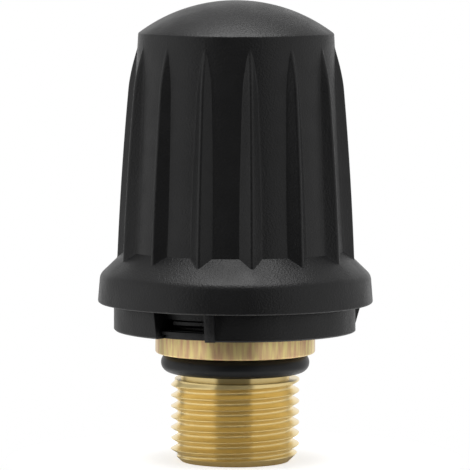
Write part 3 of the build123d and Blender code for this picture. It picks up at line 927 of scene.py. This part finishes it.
# %% Plug body
FLANGE_R = 11.2
FLANGE_Z = (15.25, 18.3)
FLANGE_ROUNDS = (0.3, 0.25)
NECK_R = 8.5
NECK_TOP_Z = 25.0
CLIP_GROOVE_R = 7.9
CLIP_GROOVE_Z = (23.3, 24.3)
SPIGOT_R = 7.0
SPIGOT_TOP_Z = 33.0
SPIGOT_ROUND = 0.3
SPIGOT_FLAT = 6.3
CHAMBER_R = 5.0
CHAMBER_FLOOR_Z = 8.0
PORT_R = 2.0
INLET_R = 4.5
INLET_TOP_Z = 5.5
INLET_ROUND = 0.25
PLUG_SHARP_ANGLE = 28
plug_outline = rounded([
    (GROOVE_R, THREAD_LENGTH),
    (GROOVE_R, FLANGE_Z[0]),
    (FLANGE_R, FLANGE_Z[0], FLANGE_ROUNDS[0]),
    (FLANGE_R, FLANGE_Z[1], FLANGE_ROUNDS[1]),
    (NECK_R, FLANGE_Z[1]),
    (NECK_R, CLIP_GROOVE_Z[0]),
    (CLIP_GROOVE_R, CLIP_GROOVE_Z[0]),
    (CLIP_GROOVE_R, CLIP_GROOVE_Z[1]),
    (NECK_R, CLIP_GROOVE_Z[1]),
    (NECK_R, NECK_TOP_Z),
    (SPIGOT_R, NECK_TOP_Z),
    (SPIGOT_R, SPIGOT_TOP_Z, SPIGOT_ROUND),
    (CHAMBER_R, SPIGOT_TOP_Z),
    (CHAMBER_R, CHAMBER_FLOOR_Z),
    (PORT_R, CHAMBER_FLOOR_Z),
    (PORT_R, INLET_TOP_Z),
    (INLET_R, INLET_TOP_Z),
    (INLET_R, 0.0, INLET_ROUND),
    (THREAD_R - END_CHAMFER, 0.0),
])
body_points, body_faces = carry_round(plug_outline)
body_points = [
    (max(-SPIGOT_FLAT, min(SPIGOT_FLAT, x)) if z > NECK_TOP_Z else x, y, z)
    for x, y, z in body_points
]
count = len(points)
points += body_points
faces += [tuple(at + count for at in face) for face in body_faces]
count = len(points)
points += [(x, y, THREAD_LENGTH) for x, y in circle(GROOVE_R, FACETS)]
top_row = len(levels) - 1
for step in range(FACETS):
    low = step * len(levels) + top_row
    faces.append((low, low + len(levels), count + step + 1, count + step))
plug = mesh_object("brass_plug", points, faces, brass, PLUG_SHARP_ANGLE)
report(plug)
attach(plug, "plug")
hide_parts("valve_body")

# %% [markdown]
# ## Rubber ring
# A plain O-ring of round section lies in the groove under the flange. The seam of its mould
# is too fine to see at this size, so the surface is a smooth torus.

# %% O-ring
O_RING_R = 9.025
O_RING_SECTION_R = 1.375
O_RING_Z = 13.875
O_RING_STEPS = 40
ring_section = circle(O_RING_SECTION_R, O_RING_STEPS, (O_RING_R, O_RING_Z))
o_ring = mesh_object("rubber_o_ring", *carry_round(ring_section), rubber)
report(o_ring)
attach(o_ring, "plug")
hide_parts("body_o_ring")

# %% [markdown]
# ## Springs
# A coil spring is wire that follows a rule: so many turns, this wide, over this length. A
# Geometry Nodes tree draws the helix from those numbers and gives it a round section.

# %% Geometry Nodes: coil spring
POINTS_PER_TURN = 48
WIRE_SIDES = 16

coil, given = new_tree("coil_spring", {
    "Turns": "Float",
    "Coil Radius": "Float",
    "Wire Radius": "Float",
    "Rise": "Float",
    "Foot": "Float",
    "Material": "Material",
})
helix = add_node(
    coil, "GeometryNodeCurveSpiral",
    {
        "Resolution": POINTS_PER_TURN,
        "Rotations": given["Turns"],
        "Start Radius": given["Coil Radius"],
        "End Radius": given["Coil Radius"],
        "Height": given["Rise"],
    },
)
wire_section = add_node(
    coil, "GeometryNodeCurvePrimitiveCircle",
    {"Resolution": WIRE_SIDES, "Radius": given["Wire Radius"]},
)
wire = add_node(
    coil, "GeometryNodeCurveToMesh",
    {"Curve": helix.outputs[0], "Profile Curve": wire_section.outputs[0], "Fill Caps": True},
)
lift = add_node(coil, "ShaderNodeCombineXYZ", {"Z": given["Foot"]})
placed = add_node(
    coil, "GeometryNodeTransform", {"Geometry": wire.outputs[0], "Translation": lift.outputs[0]}
)
finished = add_node(
    coil, "GeometryNodeSetMaterial",
    {"Geometry": placed.outputs[0], "Material": given["Material"]},
)
add_node(coil, "NodeGroupOutput", {"Geometry": finished.outputs[0]})

# %% [markdown]
# The larger spring lifts the grip and the smaller one holds the valve shut. Each line of the
# list ends with the radius of the coil, the radius of the wire, the height at which the spring
# stands and its length, in millimetres.

# %% Both springs
SPRING_TURNS = 5.5
SPRING_SHARP_ANGLE = 50
springs = (
    ("grip_spring", "knob_spring", "grip", 9.0, 0.6, 28.6, 17.4),
    ("valve_spring", "relief_spring", "relief", 3.4, 0.45, 15.32, 10.7),
)
for name, node, body, coil_r, wire_r, foot_z, length in springs:
    spring = run_nodes(name, coil, {
        "Turns": SPRING_TURNS,
        "Coil Radius": coil_r * MM,
        "Wire Radius": wire_r * MM,
        "Rise": (length - 2 * wire_r) * MM,
        "Foot": (foot_z + wire_r) * MM,
        "Material": spring_wire,
    }, SPRING_SHARP_ANGLE)
    report(spring)
    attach(spring, body)
    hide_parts(node)

# %% [markdown]
# ## Pieces inside
# Washers, gears, nuts and the parts of the relief valve don't show on the closed cap. Their
# CAD meshes already have the right shape, so each keeps its mesh and gets a real finish.

# %% Finishes of the inner pieces
finishes = {
    zinc_steel: (
        "slip_washer", "retaining_ring", "clutch_gear", "gear_nut", "thrust_washer",
        "spring_cap", "lower_spring_plate", "upper_spring_plate", "drive_ring",
    ),
    brass: ("seat_insert", "relief_poppet", "adjusting_screw", "screw_lock_nut"),
    rubber: ("poppet_seal",),
}
for material, nodes in finishes.items():
    for node in nodes:
        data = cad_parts[node].data
        data.materials.clear()
        data.materials.append(material)
print("CAD pieces kept:", sum(len(nodes) for nodes in finishes.values()))

# %% [markdown]
# ## Studio
# The photograph is a product shot on white: a large bright panel on either side, a soft light
# from above, a white backdrop, and darkness round the camera, which the brass reflects as a
# dark band. The world carries the panels and the dark front as fixed directions. The camera
# sees plain white, and so do the mirrored rays that leave towards the backdrop. The floor
# has a switch of the same kind, so one function makes the nodes for both.

# %% What the camera and mirrored rays see
def shown_share(tree, rays, gate):
    """A factor of 1 for camera rays, and of the gate's value for mirrored and refracted rays."""
    mirrored = add_node(
        tree, "ShaderNodeMath",
        {0: rays.outputs["Is Glossy Ray"], 1: rays.outputs["Is Transmission Ray"]},
    )
    return add_node(
        tree, "ShaderNodeMath",
        {0: mirrored.outputs[0], 1: gate, 2: rays.outputs["Is Camera Ray"]},
        operation="MULTIPLY_ADD", use_clamp=True,
    )


# %% [markdown]
# Each stop is a direction, in degrees from the camera's side towards +X, and the level of the
# light from there. Higher up, the panels give way to the even light of a ceiling.

# %% World light
PANEL_STOPS = (
    (-180, 1.0), (-155, 0.7), (-140, 0.3), (-118, 0.85), (-41, 0.97), (-39, 0.15),
    (32, 0.15), (34, 0.78), (110, 0.78), (132, 0.55), (155, 0.9), (180, 1.0),
)
CEILING = 0.4
WHITE = linear("#ffffff")

world = bpy.data.worlds.new("white_studio")
bpy.context.scene.world = world
world.use_nodes = True
tree = world.node_tree
tree.nodes.clear()
heading = add_node(tree, "ShaderNodeTexCoord").outputs["Generated"]
axes = add_node(tree, "ShaderNodeSeparateXYZ", {"Vector": heading})
front = add_node(tree, "ShaderNodeMath", {0: axes.outputs["Y"], 1: -1.0}, operation="MULTIPLY")
side = add_node(
    tree, "ShaderNodeMath", {0: axes.outputs["X"], 1: front.outputs[0]}, operation="ARCTAN2"
)
share = add_node(
    tree, "ShaderNodeMath", {0: side.outputs[0], 1: 1 / math.tau, 2: 0.5}, operation="MULTIPLY_ADD"
)
panels = add_node(tree, "ShaderNodeValToRGB", {"Fac": share.outputs[0]})
stops = panels.color_ramp.elements
for angle, _ in PANEL_STOPS[1:-1]:
    stops.new(angle / 360 + 0.5)
for stop, (angle, level) in zip(stops, PANEL_STOPS):
    stop.color = (level, level, level, 1.0)
above = add_node(
    tree, "ShaderNodeMapRange", {"Value": axes.outputs["Z"], "From Min": 0.3, "From Max": 0.8}
)
studio_light = add_node(
    tree, "ShaderNodeMix",
    {"Factor": above.outputs["Result"], "A": panels.outputs["Color"], "B": CEILING},
)
rays = add_node(tree, "ShaderNodeLightPath")
seen = add_node(tree, "ShaderNodeBackground", {"Color": WHITE, "Strength": 1.0})
lit = add_node(
    tree, "ShaderNodeBackground", {"Color": WHITE, "Strength": studio_light.outputs["Result"]}
)
behind = add_node(
    tree, "ShaderNodeMapRange", {"Value": axes.outputs["Y"], "From Min": 0.75, "From Max": 0.9}
)
shown = shown_share(tree, rays, behind.outputs["Result"])
mixed = add_node(
    tree, "ShaderNodeMixShader",
    {0: shown.outputs[0], 1: lit.outputs[0], 2: seen.outputs[0]},
)
add_node(tree, "ShaderNodeOutputWorld", {"Surface": mixed.outputs[0]})

# %% [markdown]
# One square soft light hangs above the cap and faces its middle.

# %% Lamp
LAMP_PLACE = Vector((0.0, -0.05, 0.62))
LAMP_AIM = Vector((0.0, 0.0, 0.034))
LAMP_SIZE = 0.5
LAMP_POWER = 3.6

lamp_data = bpy.data.lights.new("top_panel", "AREA")
lamp_data.shape, lamp_data.size, lamp_data.energy = "SQUARE", LAMP_SIZE, LAMP_POWER
lamp = add_object("top_panel", lamp_data)
lamp.location = LAMP_PLACE
lamp.rotation_euler = (LAMP_AIM - LAMP_PLACE).to_track_quat("-Z", "Y").to_euler()

# %% [markdown]
# The floor is a round sheet of white paper. Camera rays, and mirrored rays that come from
# further off than a set reach, see it glow, as paper on a light table does. The glow keeps
# the shadow of the cap faint, as a product shot on white has it.

# %% Floor
FLOOR_R = 0.032
FLOOR_GLOW = 0.6
SHADOW_REACH = 0.02
FLOOR_SIDES = 96
rim = [(x, y, 0) for x, y in circle(FLOOR_R, FLOOR_SIDES)[:-1]]
floor_mesh = bpy.data.meshes.new("studio_floor")
floor_mesh.from_pydata(rim, [], [tuple(range(FLOOR_SIDES))])
floor = add_object("studio_floor", floor_mesh)
paper, tree = new_material("white_floor_paper")
matt = add_node(tree, "ShaderNodeBsdfDiffuse", {"Color": linear("#f2f2f2")})
glow = add_node(tree, "ShaderNodeEmission", {"Color": WHITE})
rays = add_node(tree, "ShaderNodeLightPath")
far_off = add_node(
    tree, "ShaderNodeMath", {0: rays.outputs["Ray Length"], 1: SHADOW_REACH},
    operation="GREATER_THAN",
)
shown = shown_share(tree, rays, far_off.outputs[0])
glow_level = add_node(
    tree, "ShaderNodeMath", {0: shown.outputs[0], 1: FLOOR_GLOW}, operation="MULTIPLY"
)
tree.links.new(glow_level.outputs[0], glow.inputs["Strength"])
both = add_node(tree, "ShaderNodeAddShader", {0: matt.outputs[0], 1: glow.outputs[0]})
add_node(tree, "ShaderNodeOutputMaterial", {"Surface": both.outputs[0]})
floor_mesh.materials.append(paper)

# %% [markdown]
# ## Camera
# The photograph was taken with a long lens from a little above the middle of the cap. The
# ellipses of the dome and the skirt give the downward tilt, and the change of their width
# gives the distance.

# %% Camera
CAMERA_PLACE = Vector((-0.00008, -0.59896, 0.08252))
CAMERA_AIM = Vector((-0.00008, 0.0, 0.0317))
CAMERA_ROLL = 0.17
SENSOR_WIDTH = 36.0
FOCAL_LENGTH = 329.4
NEAREST = 0.01

lens = bpy.data.cameras.new("product_camera")
lens.sensor_width, lens.lens, lens.clip_start = SENSOR_WIDTH, FOCAL_LENGTH, NEAREST
camera = add_object("product_camera", lens)
facing = (CAMERA_AIM - CAMERA_PLACE).to_track_quat("-Z", "Y").to_matrix()
roll = Matrix.Rotation(math.radians(CAMERA_ROLL), 3, "Z")
camera.matrix_world = Matrix.Translation(CAMERA_PLACE) @ (facing @ roll).to_4x4()
bpy.context.scene.camera = camera
bpy.context.scene.view_settings.view_transform = "Standard"
print("camera", round((CAMERA_AIM - CAMERA_PLACE).length, 4), "m away")
